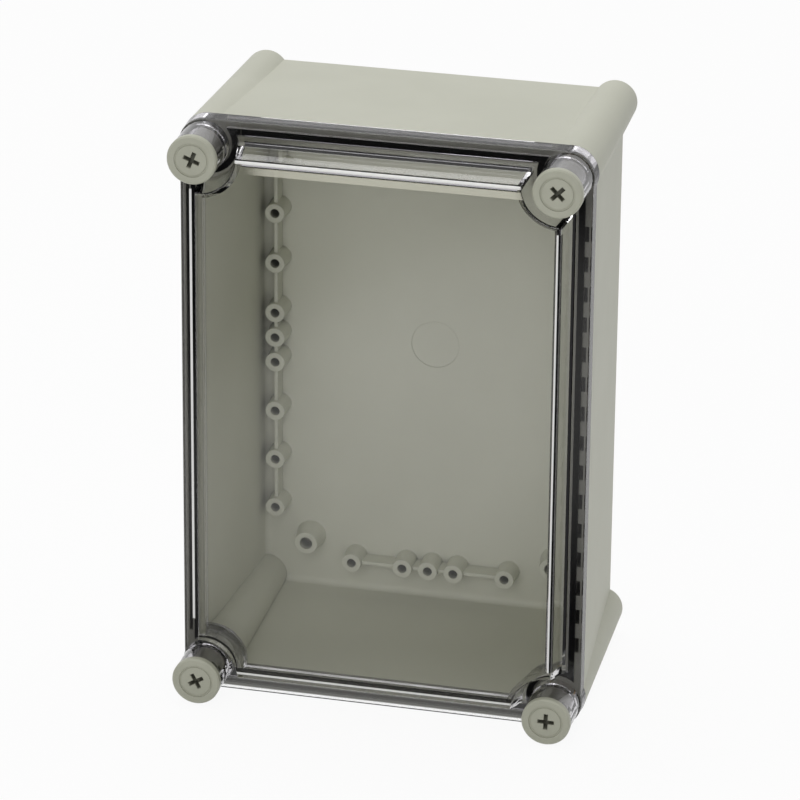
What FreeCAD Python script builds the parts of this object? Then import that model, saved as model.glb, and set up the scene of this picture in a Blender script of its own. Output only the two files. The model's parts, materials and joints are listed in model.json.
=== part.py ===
import FreeCAD, Part
import Sketcher
import os
import re

# Polycarbonate enclosure with a clear cover, four captive cover screws and pull-out hinges.
# Millimetres. +Z is up along the 280 mm height, the cover faces -Y, the wall side faces +Y.
# The origin is the middle of the box's underside.

# Driving sizes, each with the alias that the sub-parts use.
SIZES = [
    ("overallWidth", 190.0, "across the corner posts"),
    ("overallHeight", 280.0, "over the corner posts"),
    ("baseDepth", 100.0, "rim to wall side"),
    ("coverDepth", 30.0, "screw caps to rim"),
    ("postRadius", 12.5, "corner post at the rim"),
    ("postBackRadius", 10.0, "corner post at the wall side"),
    ("sideInset", 1.0, "side walls inside the posts at the rim"),
    ("sideDraft", 7.9, "how far each side wall leans in"),
    ("endDraft", 5.6, "how far each end wall leans in"),
    ("backWall", 3.5, "side and end walls at the wall side"),
    ("floorThick", 4.0, "back panel"),
    ("rimWidth", 8.0, "land of the rim"),
    ("backEdgeRound", 2.0, "edges at the wall side"),
    ("floorRound", 3.0, "edges of the cavity at the back panel"),
    ("postCollar", 1.7, "rim land inside the seal line"),
    ("collarDepth", 20.0, "run-out of the collar along the post"),
    ("collarEase", 1.0, "end of the collar inside the post"),
    ("sealInset", 5.4, "seal line inside the side walls"),
    ("sealCornerRadius", 13.2, "seal line around each post"),
    ("tongueWidth", 1.6, "sealing tongue on the rim"),
    ("tongueHeight", 0.6, "sealing tongue on the rim"),
    ("grooveWidth", 3.0, "gasket groove in the cover"),
    ("grooveDepth", 1.8, "gasket groove in the cover"),
    ("gasketSide", 0.2, "gasket to groove wall"),
    ("gasketSqueeze", 0.2, "gasket face in front of the tongue"),
    ("pocketWidth", 1.8, "coring pocket in the rim"),
    ("pocketLength", 7.15, "coring pocket along the rim"),
    ("pocketPitch", 14.3, "from one coring pocket to the next"),
    ("pocketDepth", 6.0, "coring pocket into the rim"),
    ("pocketInset", 2.3, "outer skin beside the pockets"),
    ("slotWidth", 1.6, "coring slot in the rim of the hinge side"),
    ("slotInset", 1.2, "outer skin beside the slot"),
    ("seam", 0.2, "cover to rim"),
    ("flangeThick", 8.0, "cover flange"),
    ("flangeRound", 0.6, "front edge of the flange"),
    ("flangeEndOut", 1.0, "flange beyond the end walls"),
    ("lobeDraft", 0.5, "lobes of the flange, thinner at their front"),
    ("windowRise", 15.0, "window in front of the flange"),
    ("windowInset", 8.4, "foot of the window wall inside the flange edge"),
    ("windowEndInset", 9.8, "foot of the window wall inside the flange end"),
    ("windowDraft", 2.6, "how far the window walls lean in"),
    ("windowRound", 0.8, "edge of the window"),
    ("windowFoot", 1.2, "bevel where the window meets the flange"),
    ("cornerScoop", 18.0, "radius cleared around the turret at the window"),
    ("coverWall", 3.0, "window thickness"),
    ("lipWall", 2.7, "cover wall inside the gasket groove"),
    ("scoopWall", 2.3, "cover wall behind the groove at the corners"),
    ("turretRadius", 11.1, "clear turret under the screw cap"),
    ("turretFoot", 11.5, "clear turret at the flange"),
    ("turretGap", 0.2, "cap to turret"),
    ("ledgeThick", 2.5, "ledge that the screw bears on"),
    ("linkDepth", 10.3, "rim to the back of the ledge"),
    ("linkWell", 8.6, "radius of the bore below the ledge"),
    ("capRadius", 11.3, "screw cap"),
    ("capThick", 3.2, "screw cap"),
    ("capBevel", 0.7, "edge of the screw cap"),
    ("capRing", 7.9, "radius of the ring groove in the cap"),
    ("capRingWidth", 0.9, "ring groove in the cap"),
    ("capRingDepth", 0.7, "ring groove below the cap's rim"),
    ("capDish", 0.35, "centre of the cap below its rim"),
    ("capLip", 0.1, "inner edge of the cap's rim"),
    ("shankRadius", 7.6, "screw shank in the turret"),
    ("shankFit", 0.35, "shank to turret bore"),
    ("boltRadius", 4.0, "threaded end of the screws"),
    ("boltFit", 0.1, "threaded end in a close hole"),
    ("boltEntry", 0.8, "threaded end in the brass insert"),
    ("boltTipBevel", 0.8, "point of the threaded end"),
    ("closingReach", 13.0, "closing screw beyond the rim"),
    ("hingeTipGap", 1.5, "hinge screw to the fork's slot"),
    ("crossLength", 8.2, "cross recess, tip to tip"),
    ("crossWidth", 2.0, "cross recess, wing"),
    ("crossDepth", 4.0, "cross recess"),
    ("crossFoot", 5.0, "cross recess at its bottom, tip to tip"),
    ("crossFootWidth", 1.6, "cross recess at its bottom, wing"),
    ("washerThick", 1.2, "thrust washer"),
    ("washerPlay", 0.02, "thrust washer, each side"),
    ("washerFit", 0.1, "washers on the screw"),
    ("ringRadius", 6.4, "captive ring"),
    ("ringThick", 1.5, "captive ring"),
    ("screwTravel", 9.0, "a loosened screw rises this far"),
    ("insertRadius", 7.0, "brass insert"),
    ("insertLength", 12.0, "brass insert"),
    ("insertDrop", 3.0, "rim to brass insert"),
    ("gripDepth", 0.5, "grip groove round the insert"),
    ("gripWidth", 1.8, "grip groove round the insert"),
    ("gripInset", 3.0, "insert's end to its grip groove"),
    ("insertFit", 0.05, "inserts and stops in the post"),
    ("mouthRadius", 8.4, "mouth of the closing post"),
    ("wellRadius", 6.0, "well of the closing post"),
    ("postFloor", 8.0, "thickness at the end of each well"),
    ("fixingRadius", 2.75, "wall fixing holes"),
    ("hingeMouth", 9.0, "mouth of the hinge post"),
    ("knuckleDrop", 6.0, "rim to knuckle axis"),
    ("knucklePin", 1.5, "radius of the knuckle pin"),
    ("knuckleShort", 1.0, "knuckle pin inside the link's side"),
    ("knuckleFit", 0.08, "knuckle pin in its eye"),
    ("knuckleHold", 0.03, "knuckle pin in the link"),
    ("linkRadius", 8.3, "hinge link in the cover"),
    ("linkNeck", 7.2, "hinge link below the cover"),
    ("linkStep", 2.0, "where the link narrows, in front of the rim"),
    ("linkFlat", 5.5, "half width of the link's fork"),
    ("forkGap", 4.4, "slot of the fork"),
    ("forkRelief", 5.9, "slot depth in front of the knuckle axis"),
    ("eyeThick", 4.0, "eye of the hinge pin"),
    ("eyeRadius", 4.5, "eye of the hinge pin"),
    ("neckRadius", 3.5, "neck of the hinge pin"),
    ("neckStart", 6.2, "knuckle axis to round neck"),
    ("stemEase", 0.07, "flat stem inside the neck"),
    ("pinTravel", 26.5, "the hinge pins slide out this far"),
    ("guideRadius", 5.0, "guided end of the hinge pin"),
    ("guideLength", 37.0, "guided end of the hinge pin"),
    ("guideFit", 0.1, "guided end in the post"),
    ("guideBevel", 1.0, "point of the guided end"),
    ("stopRadius", 7.0, "pin stop"),
    ("stopDrop", 13.0, "rim to pin stop"),
    ("stopThick", 3.0, "pin stop"),
    ("stopFit", 0.3, "pin stop round the neck"),
    ("bossGrid", 12.5, "raster of the bosses"),
    ("columnInset", 7.4, "boss columns from the side walls"),
    ("rowInset", 17.3, "boss rows from the end walls"),
    ("bossRadius", 4.65, "boss at its top"),
    ("bossFoot", 5.2, "boss at its foot"),
    ("bossRise", 11.0, "boss above the floor"),
    ("bossHole", 2.2, "boss hole"),
    ("bossHoleDepth", 9.0, "boss hole"),
    ("ribThick", 1.7, "rib between the bosses"),
    ("ribDrop", 2.0, "rib below the boss tops"),
    ("plateInset", 22.5, "plate bosses from the posts, across"),
    ("plateEndInset", 22.8, "plate bosses from the posts, along"),
    ("plateBossRadius", 5.5, "plate boss at its top"),
    ("plateBossFoot", 7.25, "plate boss at its foot"),
    ("plateBossHole", 3.05, "plate boss hole"),
    ("gateRadius", 11.5, "moulding gate disc"),
    ("gateDepth", 0.4, "moulding gate disc"),
]

# Planes and axes that several pieces share, as expressions on the sizes.
LINES = {
    "bossY": "(floorY - bossRise)",
    "floorY": "(backY - floorThick)",
    "wellY": "(backY - postFloor)",
    "knuckleY": "(rimY + knuckleDrop)",
    "stopY": "(rimY + stopDrop)",
    "insertY": "(rimY + insertDrop)",
    "windowY": "(flangeY - windowRise)",
    "flangeY": "(rimY - flangeThick)",
    "ledgeY": "(ledgeBackY - ledgeThick)",
    "ledgeBackY": "(rimY - linkDepth)",
    "coverY": "(rimY - seam)",
    "turretY": "(capY + capThick + turretGap)",
    "rimY": "(backY - baseDepth)",
    "capY": "(-backY)",
    "backY": "((baseDepth + coverDepth) / 2)",
    "columnX": "(sideX - sideDraft - backWall - columnInset)",
    "rowZ": "(endZ - endDraft - backWall - rowInset)",
    "plateX": "(postX - plateInset)",
    "plateZ": "(postZ - plateEndInset)",
    "midZ": "(overallHeight / 2)",
    "postX": "(overallWidth / 2 - postRadius)",
    "postZ": "(overallHeight / 2 - postRadius)",
    "sideX": "(overallWidth / 2 - sideInset)",
    "endZ": "(overallHeight / 2 - sideInset)",
}

BORE_SPARE = 1.0    # how far a cutting tool stands out of the face that it enters
SHARED = 0.5        # how far joined primitives reach into each other
FLAT = 1e-4         # an edge with less depth than this lies in a plane
SPIN = {"upper_left": 22.0, "upper_right": 45.0, "lower_left": -29.0, "lower_right": 1.0}

doc = FreeCAD.newDocument("enclosure")
sheet = doc.addObject("Spreadsheet::Sheet", "Sizes")
for line, (alias, value, note) in enumerate(SIZES, start=1):
    sheet.set("A%d" % line, alias)
    sheet.set("B%d" % line, "%g" % value)
    sheet.set("C%d" % line, note)
    sheet.setAlias("B%d" % line, alias)
doc.recompute()
ALIASES = {alias for alias, value, note in SIZES}


def sized(text):
    """Turn a formula of plain aliases and shared lines into a sheet expression."""
    text = str(text)
    for name, formula in LINES.items():
        text = re.sub(r"\b%s\b" % name, formula, text)
    return re.sub(r"[A-Za-z_]\w*", lambda m: ("Sizes." if m.group(0) in ALIASES else "") + m.group(0), text)


def number(text):
    """The present value of such a formula, for counts and for choosing edges."""
    plain = re.sub(r"Sizes\.", "", sized(text))
    probe = sheet.evalExpression(re.sub(r"[A-Za-z_]\w*", lambda m: "Sizes." + m.group(0), plain))
    return float(probe)


def bind(obj, **formulas):
    for prop, text in formulas.items():
        obj.setExpression(prop, sized(text))
    return obj


def put(obj, x="0", y="0", z="0"):
    for axis, text in (("x", x), ("y", y), ("z", z)):
        obj.setExpression("Placement.Base." + axis, sized(text))
    return obj


def box(name, x, y, z):
    """A box between pairs of planes; z counts from the middle of the height."""
    solid = doc.addObject("Part::Box", name)
    spans = ["%s - (%s)" % (far, near) for near, far in (x, y, z)]
    bind(solid, Length=spans[0], Width=spans[1], Height=spans[2])
    return put(solid, x[0], y[0], "midZ + (%s)" % z[0])


def wedge(name, front, back):
    """A drafted block between two centred rectangles, each (plane, half width, half height)."""
    solid = doc.addObject("Part::Wedge", name)
    bind(solid, Ymin=front[0], Ymax=back[0])
    bind(solid, Xmin="-(%s)" % front[1], Xmax=front[1], Zmin="-(%s)" % front[2], Zmax=front[2])
    bind(solid, X2min="-(%s)" % back[1], X2max=back[1], Z2min="-(%s)" % back[2], Z2max=back[2])
    return put(solid, z="midZ")


def rod(name, radius, y, x="0", z="0"):
    """A cylinder along Y."""
    solid = doc.addObject("Part::Cylinder", name)
    solid.Placement.Rotation = FreeCAD.Rotation(FreeCAD.Vector(1, 0, 0), -90)
    bind(solid, Radius=radius, Height="%s - (%s)" % (y[1], y[0]))
    return put(solid, x, y[0], "midZ + (%s)" % z)


def taper(name, radii, y, x="0", z="0"):
    """A cone along Y."""
    solid = doc.addObject("Part::Cone", name)
    solid.Placement.Rotation = FreeCAD.Rotation(FreeCAD.Vector(1, 0, 0), -90)
    bind(solid, Radius1=radii[0], Radius2=radii[1], Height="%s - (%s)" % (y[1], y[0]))
    return put(solid, x, y[0], "midZ + (%s)" % z)


def upright(name, radius, half, x="0", y="0", z="0"):
    """A cylinder along Z, centred on its place."""
    solid = doc.addObject("Part::Cylinder", name)
    bind(solid, Radius=radius, Height="2 * (%s)" % half)
    return put(solid, x, y, "midZ + (%s) - (%s)" % (z, half))


def fuse(name, *solids):
    joined = doc.addObject("Part::MultiFuse", name)
    joined.Shapes = list(solids)
    return joined


def cut(name, base, tool):
    rest = doc.addObject("Part::Cut", name)
    rest.Base = base
    rest.Tool = tool
    return rest


def eased(kind, name, source, size, y):
    """Fillet or chamfer the edges of source that lie in the plane at y."""
    doc.recompute()
    level = number(y)
    spans = enumerate((edge.BoundBox for edge in source.Shape.Edges), start=1)
    flat = [i for i, span in spans if span.YLength < FLAT and abs(span.YMin - level) < FLAT]
    form = doc.addObject(kind, name)
    form.Base = source
    form.Edges = [(i, number(size), number(size)) for i in flat]
    return form


def rounded(name, source, radius, y):
    return eased("Part::Fillet", name, source, radius, y)


def bevelled(name, source, size, y):
    return eased("Part::Chamfer", name, source, size, y)


def corners():
    """The four posts: name, sign along X, sign along Z."""
    for row, up in (("upper", 1), ("lower", -1)):
        for column, out in (("left", -1), ("right", 1)):
            yield "%s_%s" % (row, column), out, up


def seal_outline(name, offset, y):
    """The block inside the seal line, with a scoop round each post."""
    side = "(sideX - sealInset + %s)" % offset
    end = "(endZ - sealInset + %s)" % offset
    block = box(name + "_block", ("-" + side, side), y, ("-" + end, end))
    tools = []
    for corner, out, up in corners():
        reach = ("%s - %g" % (y[0], BORE_SPARE), "%s + %g" % (y[1], BORE_SPARE))
        tools.append(rod("%s_scoop_%s" % (name, corner), "sealCornerRadius - (%s)" % offset, reach,
                         "%d * postX" % out, "%d * postZ" % up))
    return cut(name, block, fuse(name + "_scoops", *tools))


def seal_ring(name, width, y):
    """A closed ribbon along the seal line."""
    reach = ("%s - %g" % (y[0], BORE_SPARE), "%s + %g" % (y[1], BORE_SPARE))
    outer = seal_outline(name + "_outer", "%s / 2" % width, y)
    inner = seal_outline(name + "_inner", "-(%s) / 2" % width, reach)
    return cut(name, outer, inner)


# Turned pieces: a half section in the sketch plane, radius along X and depth along Y.
def turned(label, points):
    body = doc.addObject("PartDesign::Body", label)
    sketch = body.newObject("Sketcher::SketchObject", label + "_section")
    plane = [item for item in body.Origin.OriginFeatures if item.Role == "XY_Plane"][0]
    sketch.AttachmentSupport = [(plane, "")]
    sketch.MapMode = "FlatFace"
    places = [FreeCAD.Vector(number(x), number(y), 0) for x, y in points]
    count = len(places)
    for i in range(count):
        sketch.addGeometry(Part.LineSegment(places[i], places[(i + 1) % count]), False)
    for i in range(count):
        sketch.addConstraint(Sketcher.Constraint("Coincident", i, 2, (i + 1) % count, 1))
    for i, (x, y) in enumerate(points):
        spot = places[i]
        for kind, axis, text, place in (("DistanceX", -2, x, spot.x), ("DistanceY", -1, y, spot.y)):
            if str(text) == "0":
                sketch.addConstraint(Sketcher.Constraint("PointOnObject", i, 1, axis))
                continue
            index = sketch.addConstraint(Sketcher.Constraint(kind, -1, 1, i, 1, place))
            sketch.setExpression("Constraints[%d]" % index, sized(text))
    turn = body.newObject("PartDesign::Revolution", label + "_turn")
    turn.Profile = sketch
    turn.ReferenceAxis = (sketch, ["V_Axis"])
    turn.Angle = 360
    body.Tip = turn
    return body


def seat(body, corner, y="capY", spin=0.0):
    """Set a turned piece on its post's axis."""
    row, column = corner.split("_")
    out = -1 if column == "left" else 1
    up = 1 if row == "upper" else -1
    body.Placement.Rotation = FreeCAD.Rotation(FreeCAD.Vector(0, 1, 0), spin)
    return put(body, "%d * postX" % out, y, "midZ + (%d * postZ)" % up)


# Base shell: drafted walls, a post at each corner, and a cavity that the posts reach into.
def make_base():
    ends = wedge("base_ends", ("rimY", "postX", "endZ"), ("backY", "postX", "endZ - endDraft"))
    sides = wedge("base_sides", ("rimY", "sideX", "postZ"), ("backY", "sideX - sideDraft", "postZ"))
    walls = [rounded(wall.Name + "_rounded", wall, "backEdgeRound", "backY") for wall in (ends, sides)]
    outline = ("postRadius", "postBackRadius")
    posts, post_cores, collars = [], [], []
    for corner, out, up in corners():
        spot = ("%d * postX" % out, "%d * postZ" % up)
        post = taper("post_" + corner, outline, ("rimY", "backY"), *spot)
        posts.append(rounded("post_rounded_" + corner, post, "backEdgeRound", "backY"))
        post_cores.append(taper("post_core_" + corner, outline, ("rimY", "backY"), *spot))
        radii = ("sealCornerRadius + postCollar", "postRadius - collarEase")
        collars.append(taper("collar_" + corner, radii, ("rimY", "rimY + collarDepth"), *spot))
    mouth = "rimY - tongueHeight - %g" % BORE_SPARE
    hollow = wedge("base_hollow", (mouth, "sideX - rimWidth", "endZ - rimWidth"),
                   ("floorY", "sideX - sideDraft - backWall", "endZ - endDraft - backWall"))
    hollow = rounded("base_hollow_rounded", hollow, "floorRound", "floorY")
    hollow = cut("base_cavity", hollow, fuse("base_corners", *(post_cores + collars)))
    outside = fuse("base_outside", *(walls + posts))
    shell = cut("base_open", outside, hollow)
    tongue = seal_ring("tongue", "tongueWidth", ("rimY - tongueHeight", "rimY + %g" % SHARED))
    raised, drilled = make_bosses()
    solid = fuse("base_with_bosses", shell, tongue, *raised)
    tools = fuse("base_tools", *(drilled + make_wells() + make_pockets()))
    base = cut("base_shell", solid, tools)
    base.Label = "base_shell"
    return base


# Bosses on the back panel: two columns, two rows and four plate bosses, with ribs between.
def make_bosses():
    raised, drilled = [], []
    foot = "floorY + %g" % SHARED
    bored = ("bossY - %g" % BORE_SPARE, "bossY + bossHoleDepth")

    def boss(name, radii, hole, x, z):
        raised.append(taper("boss_" + name, radii, ("bossY", foot), x, z))
        drilled.append(rod("boss_hole_" + name, hole, bored, x, z))

    for side in (-1, 1):
        for step in (-7, -5, -3, -1, 0, 1, 3, 5, 7):
            boss("column%d_%d" % (side + 1, step + 7), ("bossRadius", "bossFoot"), "bossHole",
                 "%d * columnX" % side, "%d * bossGrid" % step)
        for step in (-3, -1, 0, 1, 3):
            boss("row%d_%d" % (side + 1, step + 7), ("bossRadius", "bossFoot"), "bossHole",
                 "%d * bossGrid" % step, "%d * rowZ" % side)
        for up in (-1, 1):
            boss("plate%d_%d" % (side + 1, up + 1), ("plateBossRadius", "plateBossFoot"), "plateBossHole",
                 "%d * plateX" % side, "%d * plateZ" % up)
        depth = ("bossY + ribDrop", foot)
        across, along = [("%d * %s - ribThick / 2" % (side, line), "%d * %s + ribThick / 2" % (side, line))
                         for line in ("columnX", "rowZ")]
        raised.append(box("column_rib_%d" % (side + 1), across, depth, ("-7 * bossGrid", "7 * bossGrid")))
        raised.append(box("row_rib_%d" % (side + 1), ("-3 * bossGrid", "3 * bossGrid"), depth, along))
    drilled.append(rod("gate", "gateRadius", ("floorY - %g" % BORE_SPARE, "floorY + gateDepth")))
    return raised, drilled


# Bores of the corner posts: screw wells on the right, hinge wells on the left, fixing holes at all four.
def make_wells():
    tools = []
    for corner, out, up in corners():
        spot = ("%d * postX" % out, "%d * postZ" % up)
        mouth = "rimY - tongueHeight - %g" % BORE_SPARE
        tools.append(rod("fixing_" + corner, "fixingRadius",
                         ("wellY - %g" % BORE_SPARE, "backY + %g" % BORE_SPARE), *spot))
        if out > 0:
            tools.append(rod("mouth_" + corner, "mouthRadius", (mouth, "insertY"), *spot))
            tools.append(rod("insert_seat_" + corner, "insertRadius + insertFit",
                             ("insertY - %g" % SHARED, "insertY + insertLength"), *spot))
            tools.append(rod("well_" + corner, "wellRadius", ("insertY", "wellY"), *spot))
        else:
            tools.append(rod("mouth_" + corner, "hingeMouth", (mouth, "stopY"), *spot))
            tools.append(rod("stop_seat_" + corner, "stopRadius + insertFit",
                             ("stopY - %g" % SHARED, "stopY + stopThick"), *spot))
            tools.append(rod("guide_" + corner, "guideRadius + guideFit", ("stopY", "wellY"), *spot))
    return tools


# Coring in the rim of both long sides: a row of pockets on the right, one long slot on the left.
def make_pockets():
    reach = "(postZ - sealCornerRadius)"
    steps = int(number("2 * (%s - pocketLength)" % reach) / number("pocketPitch")) // 2
    depth = ("rimY - %g" % BORE_SPARE, "rimY + pocketDepth")
    skin, pocket_skin = "(sideX - slotInset)", "(sideX - pocketInset)"
    tools = [box("slot", ("-" + skin, "-%s + slotWidth" % skin), depth, ("-" + reach, reach))]
    for step in range(-steps, steps + 1):
        span = ("%d * pocketPitch - pocketLength / 2" % step, "%d * pocketPitch + pocketLength / 2" % step)
        tools.append(box("pocket_%d" % (step + steps),
                         (pocket_skin + " - pocketWidth", pocket_skin), depth, span))
    return tools


# Clear cover: flange with lobes, raised window with scooped corners, and a turret over each post.
def make_cover():
    full = "endZ + flangeEndOut"
    ends = box("flange_ends", ("-postX", "postX"), ("flangeY", "coverY"), ("-(%s)" % full, full))
    sides = box("flange_sides", ("-sideX", "sideX"), ("flangeY", "coverY"), ("-postZ", "postZ"))
    raised = [rounded(slab.Name + "_rounded", slab, "flangeRound", "flangeY") for slab in (ends, sides)]
    scoops, inner_scoops, bores = [], [], []
    slope = "windowDraft / windowRise"
    spare = "%s * %g" % (slope, BORE_SPARE)
    lobe = ("postRadius - lobeDraft", "postRadius")
    for corner, out, up in corners():
        spot = ("%d * postX" % out, "%d * postZ" % up)
        raised.append(taper("lobe_" + corner, lobe, ("flangeY", "coverY"), *spot))
        raised.append(taper("turret_" + corner, ("turretRadius", "turretFoot"),
                            ("turretY", "flangeY + %g" % BORE_SPARE), *spot))
        scoops.append(taper("scoop_" + corner,
                            ("cornerScoop + " + spare, "cornerScoop - windowDraft - " + spare),
                            ("windowY - %g" % BORE_SPARE, "flangeY + %g" % BORE_SPARE), *spot))
        inner_scoops.append(taper("inner_scoop_" + corner,
                                  ("cornerScoop + coverWall - %s * coverWall" % slope,
                                   "sealCornerRadius + grooveWidth / 2 + scoopWall"),
                                  ("windowY + coverWall", "coverY + %g" % BORE_SPARE), *spot))
        bores.append(rod("shank_bore_" + corner, "shankRadius + shankFit",
                         ("turretY - %g" % BORE_SPARE, "ledgeY"), *spot))
        bores.append(rod("bolt_bore_" + corner, "boltRadius + shankFit",
                         ("ledgeY - %g" % SHARED, "ledgeBackY + %g" % SHARED), *spot))
        bores.append(rod("link_bore_" + corner, "linkWell",
                         ("ledgeBackY", "coverY + %g" % BORE_SPARE), *spot))
    half, tall = "sideX - windowInset", "endZ - windowEndInset"
    front = " - %s * windowFoot" % slope
    back = " + windowFoot + %g" % SHARED
    window = wedge("window", ("windowY", half + " - windowDraft", tall + " - windowDraft"),
                   ("flangeY + %g" % SHARED, half, tall))
    foot = wedge("window_foot", ("flangeY - windowFoot", half + front, tall + front),
                 ("flangeY + %g" % SHARED, half + back, tall + back))
    window = cut("window_scooped", fuse("window_block", window, foot), fuse("scoops", *scoops))
    window = rounded("window_rounded", window, "windowRound", "windowY")
    lip = "sealInset - grooveWidth / 2 - lipWall"
    inner = " - windowDraft - coverWall"
    hollow = wedge("cover_hollow", ("windowY + coverWall", half + inner, tall + inner),
                   ("coverY + %g" % BORE_SPARE, "sideX - " + lip, "endZ - " + lip))
    hollow = cut("cover_hollow_scooped", hollow, fuse("inner_scoops", *inner_scoops))
    groove = seal_ring("groove", "grooveWidth", ("coverY - grooveDepth", "coverY + %g" % BORE_SPARE))
    block = fuse("cover_block", window, *raised)
    cover = cut("cover", block, fuse("cover_tools", hollow, groove, *bores))
    cover.Label = "cover"
    return cover


def make_gasket():
    gasket = seal_ring("cover_gasket", "(grooveWidth - 2 * gasketSide)",
                       ("coverY - grooveDepth", "rimY - tongueHeight - gasketSqueeze"))
    gasket.Label = "cover_gasket"
    return gasket


# Screw: dished cap with a ring groove and cross recess, thick shank, neck and threaded end.
def make_screw(label, corner, tip):
    shank_end = "(ledgeY - capY - washerThick)"
    point = "(%s)" % tip
    body = turned(label, [
        ("0", "capDish"),
        ("capRing - capRingWidth", "capDish"),
        ("capRing - capRingWidth", "capRingDepth"),
        ("capRing", "capRingDepth"),
        ("capRing", "capLip"),
        ("capRing + capRingWidth", "0"),
        ("capRadius - capBevel", "0"),
        ("capRadius", "capBevel"),
        ("capRadius", "capThick"),
        ("shankRadius", "capThick"),
        ("shankRadius", shank_end),
        ("boltRadius", shank_end),
        ("boltRadius", point + " - boltTipBevel"),
        ("boltRadius - boltTipBevel", point),
        ("0", point),
    ])
    foot = {"crossLength": "crossFoot", "crossWidth": "crossFootWidth"}
    wings = (("wide", "crossLength", "crossWidth"), ("tall", "crossWidth", "crossLength"))
    for name, along, across in wings:
        wing = body.newObject("PartDesign::SubtractiveWedge", "%s_%s" % (label, name))
        bind(wing, Ymin="0", Ymax="crossDepth")
        for end, wide, tall in (("", along, across), ("2", foot[along], foot[across])):
            bind(wing, **{"X%smin" % end: "-%s / 2" % wide, "X%smax" % end: "%s / 2" % wide})
            bind(wing, **{"Z%smin" % end: "-%s / 2" % tall, "Z%smax" % end: "%s / 2" % tall})
        body.Tip = wing
    seat(body, corner, spin=SPIN[corner])
    body.Label = label
    return body


def make_washer(label, corner, inner, outer, start, thick):
    """A flat ring, from start to start + thick below the cap face."""
    body = turned(label, [(inner, start), (outer, start), (outer, "%s + %s" % (start, thick)),
                          (inner, "%s + %s" % (start, thick))])
    seat(body, corner)
    body.Label = label
    return body


# Brass insert with two grip grooves round it.
def make_insert(label, corner):
    waist = "insertRadius - gripDepth"
    steps = [("boltRadius + boltEntry", "0"), ("insertRadius", "0")]
    for near, far in (("gripInset", "gripInset + gripWidth"),
                      ("insertLength - gripInset - gripWidth", "insertLength - gripInset")):
        steps += [("insertRadius", near), (waist, near), (waist, far), ("insertRadius", far)]
    steps += [("insertRadius", "insertLength"), ("boltRadius + boltEntry", "insertLength")]
    body = turned(label, steps)
    seat(body, corner, "insertY")
    body.Label = label
    return body


# Hinge link: a plug in the cover's bore that ends in a fork round the knuckle pin.
def make_link(label, corner):
    up = 1 if corner.startswith("upper") else -1
    spot = ("-postX", "%d * postZ" % up)
    top = "ledgeBackY + seam"
    step = "rimY - linkStep"
    plug = rod(label + "_plug", "linkRadius", (top, step), *spot)
    neck = rod(label + "_neck", "linkNeck", (step + " - %g" % SHARED, "knuckleY + linkFlat"), *spot)
    column = box(label + "_column", ("-postX - linkFlat", "-postX + linkFlat"),
                 (step + " - %g" % BORE_SPARE, "knuckleY"),
                 ("%d * postZ - linkRadius" % up, "%d * postZ + linkRadius" % up))
    nose = upright(label + "_nose", "linkFlat", "linkRadius", "-postX", "knuckleY", "%d * postZ" % up)
    fork = doc.addObject("Part::MultiCommon", label + "_fork")
    fork.Shapes = [neck, fuse(label + "_form", column, nose)]
    slot = box(label + "_slot", ("-postX - linkRadius", "-postX + linkRadius"),
               ("knuckleY - forkRelief", "knuckleY + linkFlat + %g" % BORE_SPARE),
               ("%d * postZ - forkGap / 2" % up, "%d * postZ + forkGap / 2" % up))
    hole = rod(label + "_thread", "boltRadius + boltFit",
               (top + " - %g" % BORE_SPARE, "knuckleY - forkRelief - hingeTipGap / 2"), *spot)
    cross = upright(label + "_cross", "knucklePin + knuckleHold", "linkRadius",
                    "-postX", "knuckleY", "%d * postZ" % up)
    link = cut(label, fuse(label + "_block", plug, fork), fuse(label + "_tools", slot, hole, cross))
    link.Label = label
    return link


# Hinge pin: an eye on the knuckle pin, a slim neck, and a thick end that slides in the post.
def make_hinge_pin(label, corner):
    up = 1 if corner.startswith("upper") else -1
    spot = ("-postX", "%d * postZ" % up)
    guide = "stopY + stopThick + pinTravel"
    eye = upright(label + "_eye", "eyeRadius", "eyeThick / 2", "-postX", "knuckleY", "%d * postZ" % up)
    stem = box(label + "_stem", ("-postX - neckRadius + stemEase", "-postX + neckRadius - stemEase"),
               ("knuckleY", "knuckleY + neckStart + %g" % SHARED),
               ("%d * postZ - eyeThick / 2" % up, "%d * postZ + eyeThick / 2" % up))
    neck = rod(label + "_neck", "neckRadius", ("knuckleY + neckStart", guide + " + %g" % SHARED), *spot)
    end = rod(label + "_end", "guideRadius", (guide, guide + " + guideLength"), *spot)
    end = bevelled(label + "_end_bevelled", end, "guideBevel", guide + " + guideLength")
    cross = upright(label + "_cross", "knucklePin + knuckleFit", "eyeThick",
                    "-postX", "knuckleY", "%d * postZ" % up)
    pin = cut(label, fuse(label + "_block", eye, stem, neck, end), cross)
    pin.Label = label
    return pin


def make_knuckle_pin(label, corner):
    up = 1 if corner.startswith("upper") else -1
    pin = upright(label, "knucklePin", "linkNeck - knuckleShort", "-postX", "knuckleY", "%d * postZ" % up)
    pin.Label = label
    return pin


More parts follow.
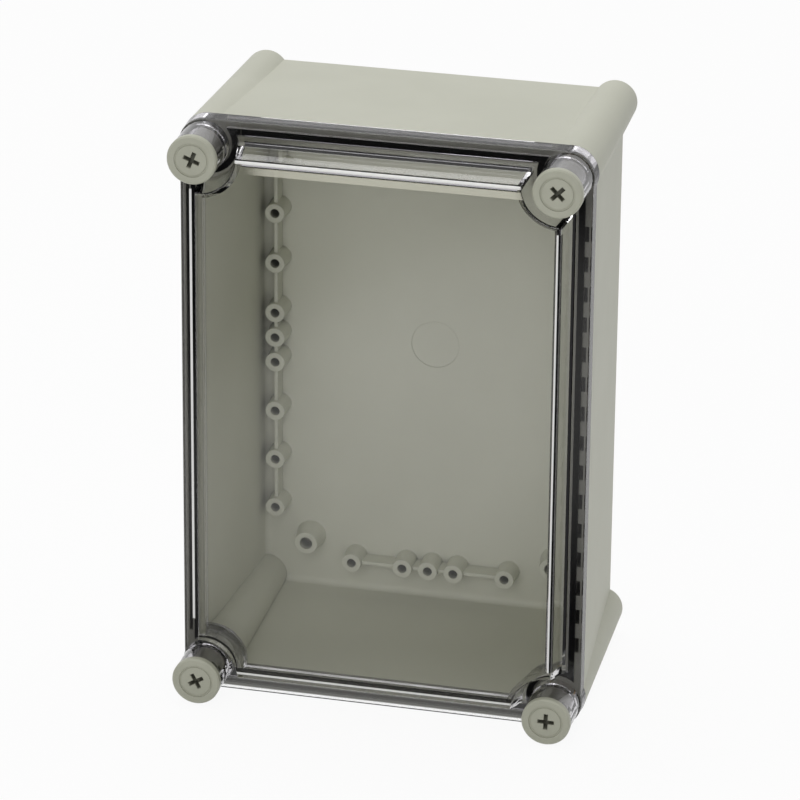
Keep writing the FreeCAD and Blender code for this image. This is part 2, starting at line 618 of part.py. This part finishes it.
pieces = [make_base(), make_cover(), make_gasket()]
WASHER_TOP = "(ledgeY - capY - washerThick)"
RING_TOP = "(ledgeBackY + screwTravel + seam - capY)"
for row in ("upper", "lower"):
    right, left = row + "_right", row + "_left"
    pieces.append(make_screw("closing_screw_" + row, right, "rimY + closingReach - capY"))
    pieces.append(make_screw("hinge_screw_" + row, left, "knuckleY - forkRelief - hingeTipGap - capY"))
    for side, corner in (("closing", right), ("hinge", left)):
        pieces.append(make_washer("%s_washer_%s" % (side, row), corner, "boltRadius + washerFit",
                                  "shankRadius", WASHER_TOP + " + washerPlay",
                                  "washerThick - 2 * washerPlay"))
    pieces.append(make_washer("captive_ring_" + row, right, "boltRadius + washerFit", "ringRadius",
                              RING_TOP, "ringThick"))
    pieces.append(make_insert("thread_insert_" + row, right))
    pieces.append(make_link("hinge_link_" + row, left))
    pieces.append(make_hinge_pin("hinge_pin_" + row, left))
    pieces.append(make_knuckle_pin("knuckle_pin_" + row, left))
    pieces.append(make_washer("pin_stop_" + row, left, "neckRadius + stopFit", "stopRadius",
                              "stopY - capY", "stopThick"))

doc.recompute()
for item in doc.Objects:
    if {"Invalid", "Error"} & set(item.State):
        raise RuntimeError("%s failed: %s" % (item.Name, item.State))
os.makedirs("parts", exist_ok=True)
for piece in pieces:
    shape = piece.Shape
    if shape.isNull() or not shape.isValid():
        raise RuntimeError("%s has no valid shape" % piece.Label)
    shape.exportStep("parts/%s.step" % piece.Label)
    print("%-24s %2d solid  %10.1f mm3" % (piece.Label, len(shape.Solids), shape.Volume))
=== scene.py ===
import bpy
import json
import math
from mathutils import Matrix, Vector


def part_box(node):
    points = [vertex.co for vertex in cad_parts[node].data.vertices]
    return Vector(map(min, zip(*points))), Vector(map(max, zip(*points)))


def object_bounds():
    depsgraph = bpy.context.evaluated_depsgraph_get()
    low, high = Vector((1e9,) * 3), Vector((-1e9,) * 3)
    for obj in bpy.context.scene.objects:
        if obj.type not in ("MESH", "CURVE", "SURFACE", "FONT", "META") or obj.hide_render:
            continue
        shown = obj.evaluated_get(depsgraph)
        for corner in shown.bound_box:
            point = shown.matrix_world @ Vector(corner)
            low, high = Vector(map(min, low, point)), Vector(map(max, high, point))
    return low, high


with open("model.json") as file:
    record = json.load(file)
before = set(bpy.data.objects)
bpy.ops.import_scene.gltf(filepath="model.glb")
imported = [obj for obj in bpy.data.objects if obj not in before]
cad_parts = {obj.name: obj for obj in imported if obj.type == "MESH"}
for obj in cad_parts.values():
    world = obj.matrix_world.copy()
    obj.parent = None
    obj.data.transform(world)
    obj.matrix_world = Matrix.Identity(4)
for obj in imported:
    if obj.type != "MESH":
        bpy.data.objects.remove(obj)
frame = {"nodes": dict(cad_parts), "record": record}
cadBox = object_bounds()
mm = 0.001


# Shader maths as plain expressions
class Signal:
    def __init__(self, finish, socket):
        self.finish = finish
        self.socket = socket

    def maths(self, operation, *terms):
        inputs = {"_%d" % place: term for place, term in enumerate(terms)}
        return self.finish.node("ShaderNodeMath", {"operation": operation}, **inputs)

    def __add__(self, other):
        return self.maths("ADD", self, other)

    __radd__ = __add__

    def __mul__(self, other):
        return self.maths("MULTIPLY", self, other)

    __rmul__ = __mul__

    def __sub__(self, other):
        return self.maths("SUBTRACT", self, other)

    def __rsub__(self, other):
        return self.maths("SUBTRACT", other, self)

    def __gt__(self, other):
        return self.maths("GREATER_THAN", self, other)

    def __lt__(self, other):
        return self.maths("LESS_THAN", self, other)

    def __abs__(self):
        return self.maths("ABSOLUTE", self)

    def root(self):
        return self.maths("POWER", self, 0.5)

    def most(self, other):
        return self.maths("MAXIMUM", self, other)

    def wave(self, pitch):
        return self.maths("PINGPONG", self, pitch / 2) * (2 / pitch)

    def ramp(self, low, high, start=0.0, end=1.0):
        return self.finish.node("ShaderNodeMapRange", {"interpolation_type": "SMOOTHSTEP"},
                                Value=self, From_Min=low, From_Max=high, To_Min=start, To_Max=end)


class Finish:
    def __init__(self, name, owner=None):
        self.owner = owner or bpy.data.materials.new(name)
        self.owner.use_nodes = True
        self.tree = self.owner.node_tree
        self.tree.nodes.clear()

    # An input goes by its name, with _ for a space, or by its number, as in _0
    def node(self, kind, settings=None, output=0, **inputs):
        made = self.tree.nodes.new(kind)
        for key, value in (settings or {}).items():
            setattr(made, key, value)
        for key, value in inputs.items():
            socket = made.inputs[int(key[1:])] if key[0] == "_" else made.inputs[key.replace("_", " ")]
            if isinstance(value, Signal):
                self.tree.links.new(value.socket, socket)
            elif value is not None:
                socket.default_value = (*value, 1.0) if socket.type == "RGBA" else value
        return Signal(self, made.outputs[output]) if made.outputs else None

    def blend(self, factor, low, high):
        return self.node("ShaderNodeMix", {"data_type": "RGBA"}, 2, _0=factor, _6=low, _7=high)

    def place(self):
        return self.node("ShaderNodeTexCoord", output="Object")

    def axis(self, index):
        return self.node("ShaderNodeSeparateXYZ", None, index, Vector=self.place())

    def fromPost(self):
        across = abs(self.axis(0)) - planes["postAcross"]
        along = abs(self.axis(2) - planes["middle"]) - planes["postAlong"]
        return (across * across + along * along).root()

    def noise(self, size, detail=3.0):
        return self.node("ShaderNodeTexNoise", Vector=self.place(), Scale=1.0 / size, Detail=detail)

    def mottled(self, look):
        low, high = look["mottleRange"]
        return self.blend(self.noise(look["mottle"]).ramp(low, high), look["dark"], look["light"])

    def bump(self, height, depth, strength=1.0, under=None):
        return self.node("ShaderNodeBump", None, "Normal",
                         Height=height, Distance=depth, Strength=strength, Normal=under)

    def rays(self, first, *others):
        seen = self.node("ShaderNodeLightPath", None, first)
        for kind in others:
            seen = seen.most(self.node("ShaderNodeLightPath", None, kind))
        return seen

    def shader(self, **inputs):
        return self.node("ShaderNodeBsdfPrincipled", None, "BSDF", **inputs)

    def mixed(self, factor, first, second):
        return self.node("ShaderNodeMixShader", _0=factor, _1=first, _2=second)

    def end(self, shader, kind="ShaderNodeOutputMaterial"):
        self.node(kind, Surface=shader)
        return self.owner


# Where the finishes find the posts and the cover's layers, which stand so far in front of its back
lidDepths = {"flange": 7.8 * mm, "window": 22.8 * mm}
capLow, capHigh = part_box("closing_screw_upper")
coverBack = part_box("cover")[1][1]
middle = (cadBox[0][2] + cadBox[1][2]) / 2
planes = {"capFront": cadBox[0][1], "flangeFront": coverBack - lidDepths["flange"],
          "windowFront": coverBack - lidDepths["window"], "middle": middle,
          "postAcross": (capLow[0] + capHigh[0]) / 2, "postAlong": (capLow[2] + capHigh[2]) / 2 - middle}


# What the moulded plastics share: fine grain, soft edges and faint patches of sheen
moulding = {"grainDetail": 2.0, "grainStrength": 0.6, "edgeSamples": 4,
            "sheenPatch": 9 * mm, "sheenChange": 0.06, "index": 1.55}


def mouldedFinish(f, look, colour, relief=None):
    soft = f.node("ShaderNodeBevel", {"samples": moulding["edgeSamples"]}, "Normal", Radius=look["edgeRound"])
    grain = f.noise(look["grain"], moulding["grainDetail"])
    normal = f.bump(grain, look["grainDepth"], moulding["grainStrength"], soft)
    if relief:
        normal = f.bump(relief, look["reliefDepth"], 1.0, normal)
    sheen = moulding["sheenChange"] * (f.noise(moulding["sheenPatch"]) - 0.5)
    return f.end(f.shader(Base_Color=colour, IOR=moulding["index"], Roughness=look["roughness"] + sheen,
                          Specular_IOR_Level=look["gloss"], Normal=normal))


housingLook = {"light": (0.600, 0.605, 0.510), "dark": (0.575, 0.580, 0.487),
               "mottle": 60 * mm, "mottleRange": (0.35, 0.65),
               "grain": 0.5 * mm, "grainDepth": 0.018 * mm, "edgeRound": 0.5 * mm,
               "roughness": 0.50, "gloss": 0.25,
               "creviceShade": (0.120, 0.120, 0.095), "creviceReach": 7 * mm,
               "creviceRange": (0.05, 0.50), "creviceSamples": 6}


def housingFinish():
    f = Finish("housing")
    look = housingLook
    low, high = look["creviceRange"]
    settings = {"samples": look["creviceSamples"], "only_local": True}
    # Painted shade: ambient occlusion darkens holes, pockets and inner corners towards the crevice colour
    openness = f.node("ShaderNodeAmbientOcclusion", settings, "AO", Distance=look["creviceReach"])
    return mouldedFinish(f, look, f.blend(openness.ramp(low, high), look["creviceShade"], f.mottled(look)))


screwLook = {"light": (0.500, 0.505, 0.412), "dark": (0.470, 0.475, 0.385),
             "mottle": 12 * mm, "mottleRange": (0.35, 0.65),
             "grain": 0.35 * mm, "grainDepth": 0.015 * mm, "edgeRound": 0.3 * mm,
             "roughness": 0.42, "gloss": 0.35, "recess": (0.130, 0.130, 0.100),
             "coreRadius": 4.6 * mm, "crossFade": (0.4 * mm, 1.6 * mm), "crossDepth": 5 * mm,
             "threadStart": 18 * mm, "threadPitch": 1.25 * mm, "reliefDepth": 0.35 * mm}


def screwFinish():
    f = Finish("screwCaps")
    look = screwLook
    depth = f.axis(1) - planes["capFront"]
    core = f.fromPost() < look["coreRadius"]
    low, high = look["crossFade"]
    # Painted shade: the cross recess is darkened towards the recess colour
    cross = core * (depth < look["crossDepth"]) * depth.ramp(low, high)
    thread = depth.wave(look["threadPitch"]) * core * (depth > look["threadStart"])
    return mouldedFinish(f, look, f.blend(cross, f.mottled(look), look["recess"]), thread)


# Thick parts of the clear moulding, its flange and turrets, look darker than the thin window
# Its end colour is painted shade along the flange's lower end, and outerShade paints shade on the flange's
# outer faces
coverLook = {"window": (0.965, 0.960, 0.972), "thick": (0.64, 0.625, 0.66), "end": (0.10, 0.10, 0.09),
             "thickFade": 2 * mm, "turretReach": 13 * mm, "endReach": 136.2 * mm, "endFade": 0.6 * mm,
             "outerAcross": 93.85 * mm, "outerAlong": 139.85 * mm, "outerShade": 0.4,
             "windowPasses": (1.0, 1.0, 1.0), "thickPasses": (0.66, 0.66, 0.66),
             "roughness": 0.008, "haze": 0.012, "hazeSize": 25 * mm, "hazeRange": (0.45, 0.75),
             "hazeDetail": 4.0, "index": 1.585}

# Thin bands painted on its edges as painted highlights, a painted reflection and painted shade: axis (0
# across, 2 along), from, to, plane and reach behind it, in mm
edgeLook = {"paintedHighlight": (0.98, 0.98, 0.96), "paintedCreamReflection": (0.98, 0.96, 0.80), "paintedShade": (0.03, 0.03, 0.03),
            "dark": (0.03, 0.03, 0.03), "open": (1.0, 1.0, 1.0), "roughness": 0.3, "paintedShadeRoughness": 0.6,
            "paintedShadeGloss": 0.1, "sideReach": 106 * mm, "creamFade": (-62 * mm, -50 * mm), "creamShare": 0.5}
edgeBands = {
    "paintedHighlight": ((0, 81.2, 82.05, "windowFront", 0.3), (0, -89.9, -88.8, "flangeFront", 0.3),
               (2, -124.5, -123.5, "windowFront", 0.3), (2, 125.4, 126.7, "windowFront", 0.9)),
    "paintedCreamReflection": ((2, 120.8, 124.1, "windowFront", 0.3),),
    "open": ((2, -139.3, -138.1, "flangeFront", 0.3),),
    "dark": ((0, 82.1, 83.7, "windowFront", 2.5), (2, -123.5, -121.3, "windowFront", 0.3),
             (2, 126.7, 127.4, "windowFront", 2.0)),
    "paintedShade": ((2, -140.1, -139.3, "flangeFront", 0.8),),
}


def edgeMask(f, kind):
    mask = None
    spot = {0: f.axis(0), 1: f.axis(1), 2: f.axis(2) - planes["middle"]}
    for axis, low, high, plane, reach in edgeBands[kind]:
        band = (spot[axis] > low * mm) * (spot[axis] < high * mm) * (spot[1] < planes[plane] + reach * mm)
        if axis == 0:
            band = band * (abs(spot[2]) < edgeLook["sideReach"])
        mask = mask.most(band) if mask else band
    return mask


def coverTint(f, thick, end):
    tint = f.blend(end, f.blend(thick, coverLook["window"], coverLook["thick"]), coverLook["end"])
    # The dark bands paint dark reflections beside the window's edges; the open band leaves the glass untinted
    # along the lower lip
    for kind in ("open", "dark"):
        tint = f.blend(edgeMask(f, kind), tint, edgeLook[kind])
    return tint


def coverFinish():
    f = Finish("clearCover")
    look, edge = coverLook, edgeLook
    flange = f.axis(1).ramp(planes["flangeFront"] - look["thickFade"], planes["flangeFront"])
    turret = f.fromPost().ramp(look["turretReach"], look["turretReach"] + look["thickFade"], 1.0, 0.0)
    thick = flange.most(turret)
    down = planes["middle"] - f.axis(2)
    # Painted shade: the flange's lower end takes the dark end tint
    end = down.ramp(look["endReach"], look["endReach"] + look["endFade"]) * flange
    # Painted shade on the flange's outer faces, mixed in at outerShade
    outer = (abs(f.axis(0)) > look["outerAcross"]).most(abs(down) > look["outerAlong"]) * flange

    low, high = look["hazeRange"]
    haze = look["haze"] * f.noise(look["hazeSize"], look["hazeDetail"]).ramp(low, high)
    seen = f.shader(Base_Color=coverTint(f, thick, end), Roughness=look["roughness"] + haze,
                    IOR=look["index"], Transmission_Weight=1.0)
    # Painted reflection: a cream band on the window's upper wall, half mixed in and fading out towards the
    # left
    left, right = edge["creamFade"]
    paintedCreamReflection = edgeMask(f, "paintedCreamReflection") * f.axis(0).ramp(left, right) * edge["creamShare"]
    seen = f.mixed(paintedCreamReflection, seen, f.shader(Base_Color=edge["paintedCreamReflection"], Roughness=edge["roughness"]))
    # Painted highlights: white lines along the window's edges and on the flange
    paintedHighlight = f.shader(Base_Color=edge["paintedHighlight"], Roughness=edge["roughness"])
    seen = f.mixed(edgeMask(f, "paintedHighlight"), seen, paintedHighlight)
    # Painted shade: a dark line along the flange's lower lip and, at outerShade, on its outer faces
    paintedShade = f.shader(Base_Color=edge["paintedShade"], Roughness=edge["paintedShadeRoughness"],
                    Specular_IOR_Level=edge["paintedShadeGloss"])
    seen = f.mixed(edgeMask(f, "paintedShade").most(outer * look["outerShade"]), seen, paintedShade)

    # Lamps and bounced light pass straight through to the inside
    window = f.node("ShaderNodeBsdfTransparent", Color=look["windowPasses"])
    solid = f.node("ShaderNodeBsdfTransparent", Color=look["thickPasses"])
    passing = f.rays("Is Shadow Ray", "Is Diffuse Ray")
    return f.end(f.mixed(passing, seen, f.mixed(thick, window, solid)))


gasketLook = {"light": (0.014, 0.014, 0.013), "dark": (0.006, 0.006, 0.005),
              "pores": 0.6 * mm, "poreRange": (0.4, 0.7), "poreDepth": 0.08 * mm, "poreStrength": 0.7,
              "roughness": 0.75, "poreSheen": 0.1}


def gasketFinish():
    f = Finish("gasketRubber")
    look = gasketLook
    pores = f.noise(look["pores"])
    low, high = look["poreRange"]
    return f.end(f.shader(Base_Color=f.blend(pores.ramp(low, high), look["dark"], look["light"]),
                          Roughness=look["roughness"] - look["poreSheen"] * pores,
                          Normal=f.bump(pores, look["poreDepth"], look["poreStrength"])))


polyamideLooks = {
    "naturalPolyamide": {"light": (0.62, 0.60, 0.52), "dark": (0.57, 0.55, 0.47), "roughness": 0.45},
    "greyPolyamide": {"light": (0.16, 0.165, 0.155), "dark": (0.13, 0.135, 0.125), "roughness": 0.42},
}
polyamideGrain = {"mottle": 8 * mm, "mottleRange": (0.35, 0.7), "sheenPatch": 2 * mm, "sheenChange": 0.08,
                  "grain": 0.3 * mm, "grainDepth": 0.01 * mm, "grainStrength": 0.6}


def polyamideFinish(name):
    f = Finish(name)
    look = {**polyamideGrain, **polyamideLooks[name]}
    sheen = look["sheenChange"] * (f.noise(look["sheenPatch"]) - 0.5)
    return f.end(f.shader(Base_Color=f.mottled(look), Roughness=look["roughness"] + sheen,
                          Normal=f.bump(f.noise(look["grain"]), look["grainDepth"], look["grainStrength"])))


metalLooks = {
    "turnedBrass": {"light": (0.72, 0.50, 0.22), "dark": (0.60, 0.40, 0.16),
                    "roughness": 0.28, "lines": 0.4 * mm},
    "groundSteel": {"light": (0.62, 0.62, 0.63), "dark": (0.48, 0.48, 0.49),
                    "roughness": 0.25, "lines": 0.3 * mm},
}
metalLines = {"range": (0.3, 0.7), "detail": 4.0, "sheenChange": 0.12, "depth": 0.01 * mm, "strength": 0.5}


def metalFinish(name):
    f = Finish(name)
    look = metalLooks[name]
    lines = f.noise(look["lines"], metalLines["detail"])
    low, high = metalLines["range"]
    tone = f.blend(lines.ramp(low, high), look["dark"], look["light"])
    return f.end(f.shader(Base_Color=tone, Metallic=1.0,
                          Roughness=look["roughness"] + metalLines["sheenChange"] * (lines - 0.5),
                          Normal=f.bump(lines, metalLines["depth"], metalLines["strength"])))


finishes = {
    "housing": housingFinish(),
    "clear_cover": coverFinish(),
    "gasket": gasketFinish(),
    "screw_polyamide": screwFinish(),
    "natural_polyamide": polyamideFinish("naturalPolyamide"),
    "grey_polyamide": polyamideFinish("greyPolyamide"),
    "brass": metalFinish("turnedBrass"),
    "steel": metalFinish("groundSteel"),
}
print("finishes made:", len(finishes))

creaseAngle = 35  # degrees, rounder edges than this shade smoothly


def smooth(node):
    for face in node.data.polygons:
        face.use_smooth = True
    crease = node.modifiers.new("crease", "EDGE_SPLIT")
    crease.split_angle = math.radians(creaseAngle)


slotOf = {part["node"]: part["material_slot"] for part in frame["record"]["subparts"]}
for name, node in frame["nodes"].items():
    node.data.materials.clear()
    node.data.materials.append(finishes[slotOf[name]])
    smooth(node)
print("nodes dressed:", len(slotOf))

# The photo's own direction, found from the bosses and screw caps
camera = {"azimuth": 13.577, "elevation": 22.683, "roll": 0.538, "distance": 2.11466,
          "aim": (0.013278, -0.065, 0.163651), "lens": 214.07, "sensor": 36, "near": 0.1, "far": 50}


def makeCamera():
    turn, lift = math.radians(camera["azimuth"]), math.radians(camera["elevation"])
    back = Vector((math.sin(turn) * math.cos(lift), -math.cos(turn) * math.cos(lift), math.sin(lift)))
    eye = bpy.data.objects.new("camera", bpy.data.cameras.new("camera"))
    eye.data.lens = camera["lens"]
    eye.data.sensor_width = camera["sensor"]
    eye.data.clip_start = camera["near"]
    eye.data.clip_end = camera["far"]
    level = (-back).to_track_quat("-Z", "Y").to_matrix()
    rolled = level @ Matrix.Rotation(math.radians(camera["roll"]), 3, "Z")
    stand = Matrix.Translation(Vector(camera["aim"]) + back * camera["distance"])
    eye.matrix_world = stand @ rolled.to_4x4()
    bpy.context.scene.collection.objects.link(eye)
    bpy.context.scene.camera = eye


studio = {"floorHalf": 6.0, "floorShows": 0.93, "floorMottle": 0.4, "floorRange": (0.3, 0.7),
          "floorLight": (0.95, 0.95, 0.95), "floorDark": (0.93, 0.93, 0.93), "roughness": 0.9,
          "sky": 0.34, "white": (1.0, 1.0, 1.0)}
lamps = {"keyLamp": {"power": 11.5, "size": 1.8, "place": (0.0, -2.1, 1.0)},
         "topLamp": {"power": 20, "size": 1.8, "place": (-0.2, 0.5, 2.2)}}
lampAim = Vector((0, 0, 0.14))
# A card on the floor in front of the box, dark with one soft bright patch: only the cover reflects it
card = {"half": 0.9, "near": -0.068, "far": -1.5, "height": 1 * mm, "dark": (0.04, 0.04, 0.04),
        "light": (0.80, 0.80, 0.78), "glowPlace": (-0.06, -0.38), "glowReach": (0.16, 0.36)}


def makeWorld():
    world = bpy.data.worlds.new("studio")
    f = Finish("studio", world)
    seen = f.rays("Is Camera Ray", "Is Glossy Ray", "Is Transmission Ray")
    strength = studio["sky"] + (1 - studio["sky"]) * seen
    f.end(f.node("ShaderNodeBackground", Color=studio["white"], Strength=strength), "ShaderNodeOutputWorld")
    bpy.context.scene.world = world


def makeSheet(name, left, right, near, far, height, finish):
    mesh = bpy.data.meshes.new(name)
    rim = [(left, near, height), (right, near, height), (right, far, height), (left, far, height)]
    mesh.from_pydata(rim, [], [(0, 1, 2, 3)])
    mesh.materials.append(finish)
    sheet = bpy.data.objects.new(name, mesh)
    bpy.context.scene.collection.objects.link(sheet)
    return sheet


def makeFloor():
    f = Finish("paleFloor")
    low, high = studio["floorRange"]
    mottle = f.noise(studio["floorMottle"]).ramp(low, high)
    tone = f.blend(mottle, studio["floorDark"], studio["floorLight"])
    lit = f.shader(Base_Color=tone, Roughness=studio["roughness"], Specular_IOR_Level=0.0)
    white = f.node("ShaderNodeEmission", Color=studio["white"], Strength=1.0)
    seen = f.rays("Is Camera Ray", "Is Glossy Ray", "Is Transmission Ray")
    finish = f.end(f.mixed(studio["floorShows"] * seen, lit, white))
    finish.cycles.emission_sampling = "NONE"
    half = studio["floorHalf"]
    makeSheet("floor", -half, half, -half, half, 0, finish)


def makeCard():
    f = Finish("reflectorCard")
    (acrossPlace, alongPlace), (acrossReach, alongReach) = card["glowPlace"], card["glowReach"]
    across = (f.axis(0) - acrossPlace) * (1 / acrossReach)
    along = (f.axis(1) - alongPlace) * (1 / alongReach)
    glow = (across * across + along * along).ramp(0.0, 1.0, 1.0, 0.0)
    tone = f.blend(glow, card["dark"], card["light"])
    finish = f.end(f.shader(Base_Color=tone, Roughness=studio["roughness"], Specular_IOR_Level=0.0))
    half = card["half"]
    sheet = makeSheet("reflectorCard", -half, half, card["far"], card["near"], card["height"], finish)
    sheet.visible_camera = False
    sheet.visible_diffuse = False
    sheet.visible_shadow = False


def makeLamp(name):
    lamp = bpy.data.objects.new(name, bpy.data.lights.new(name, "AREA"))
    lamp.data.energy = lamps[name]["power"]
    lamp.data.shape = "DISK"
    lamp.data.size = lamps[name]["size"]
    lamp.location = lamps[name]["place"]
    lamp.rotation_euler = (lampAim - lamp.location).to_track_quat("-Z", "Y").to_euler()
    bpy.context.scene.collection.objects.link(lamp)


makeCamera()
makeWorld()
makeFloor()
makeCard()
for name in lamps:
    makeLamp(name)
bpy.context.scene.view_settings.view_transform = "Standard"
print("studio set")
